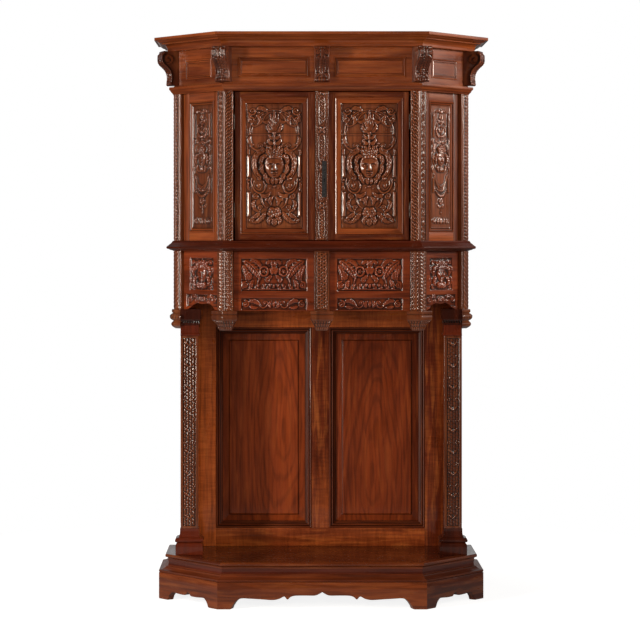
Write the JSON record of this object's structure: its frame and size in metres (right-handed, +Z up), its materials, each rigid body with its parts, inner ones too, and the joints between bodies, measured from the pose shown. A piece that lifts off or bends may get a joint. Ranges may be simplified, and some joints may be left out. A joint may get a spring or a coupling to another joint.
{
  "type": "carved canted cupboard",
  "caption": "Tall carved walnut cupboard with canted front corners, an open niche on a plinth, drawers, and a cabinet with doors under a corbelled cornice.",
  "frame": {"origin": "middle of the footprint on the floor", "axes": "+Z up, -Y out of the front, +X to the right seen from the front"},
  "size_m": [1.25, 0.483, 2.1],
  "materials": {
    "polished_walnut": "french polished, warm red-brown with visible figure",
    "carved_walnut": "carved and french polished, darker in the hollows",
    "drawer_wood": "planed, unpolished secondary wood",
    "steel": "aged, dull",
    "escutcheon_steel": "filed and worn"
  },
  "bodies": {
    "carcase": {"front_apron": "polished_walnut", "cant_aprons": "polished_walnut", "side_aprons": "polished_walnut", "plinth_back_rail": "drawer_wood", "glue_blocks": "drawer_wood", "lower_plinth_moulding": "polished_walnut", "plinth_riser": "polished_walnut", "upper_plinth_moulding": "polished_walnut", "stage_board": "polished_walnut", "back_frame": "polished_walnut", "lower_panels": "polished_walnut", "lower_panel_mouldings": "polished_walnut", "niche_sides": "polished_walnut", "pilasters": "carved_walnut", "pilaster_bases": "polished_walnut", "pilaster_capitals": "polished_walnut", "front_drawer_posts": "carved_walnut", "outer_drawer_posts": "carved_walnut", "drawer_stage_sides": "polished_walnut", "centre_post": "carved_walnut", "centre_pendant": "carved_walnut", "corner_pendants": "carved_walnut", "drawer_cant_fronts": "carved_walnut", "drawer_stage_floor": "drawer_wood", "drawer_divider": "drawer_wood", "drawer_guides": "drawer_wood", "waist_moulding": "polished_walnut", "cabinet_floor": "polished_walnut", "front_cabinet_posts": "carved_walnut", "outer_cabinet_posts": "carved_walnut", "cabinet_stage_sides": "polished_walnut", "cabinet_cant_frames": "polished_walnut", "cabinet_cant_panels": "carved_walnut", "shelf": "polished_walnut", "shelf_battens": "drawer_wood", "back_boards": "drawer_wood", "post_hinge_leaves": "steel", "architrave": "polished_walnut", "cabinet_top": "polished_walnut", "frieze": "polished_walnut", "cornice": "polished_walnut", "cornice_board": "drawer_wood", "centre_corbel": "carved_walnut", "corner_corbels": "carved_walnut", "frieze_panel_mouldings": "polished_walnut"},
    "left_door": {"left_door_frame": "polished_walnut", "left_door_panel": "carved_walnut", "left_hinge_leaves": "steel", "lock_keeper": "steel"},
    "right_door": {"right_door_frame": "polished_walnut", "right_door_panel": "carved_walnut", "centre_strip": "carved_walnut", "escutcheon": "escutcheon_steel", "lock_case": "steel", "right_hinge_leaves": "steel"},
    "lock_bolt": {"lock_bolt": "steel"},
    "left_drawer": {"left_drawer_front": "carved_walnut", "left_drawer_box": "drawer_wood"},
    "right_drawer": {"right_drawer_front": "carved_walnut", "right_drawer_box": "drawer_wood"}
  },
  "joints": [
    {"name": "left_door_hinge", "type": "hinge", "parent": "carcase", "child": "left_door", "pos_m": [-0.322, -0.1545, 1.615], "axis": [0, 0, -1], "range_deg": [0, 95]},
    {"name": "right_door_hinge", "type": "hinge", "parent": "carcase", "child": "right_door", "pos_m": [0.322, -0.1545, 1.615], "axis": [0, 0, 1], "range_deg": [0, 95]},
    {"name": "left_drawer_slide", "type": "slide", "parent": "carcase", "child": "left_drawer", "axis": [0, -1, 0], "range_m": [0, 0.25]},
    {"name": "right_drawer_slide", "type": "slide", "parent": "carcase", "child": "right_drawer", "axis": [0, -1, 0], "range_m": [0, 0.25]},
    {"name": "lock_bolt_slide", "type": "slide", "parent": "right_door", "child": "lock_bolt", "axis": [-1, 0, 0], "range_m": [0, 0.014]}
  ]
}
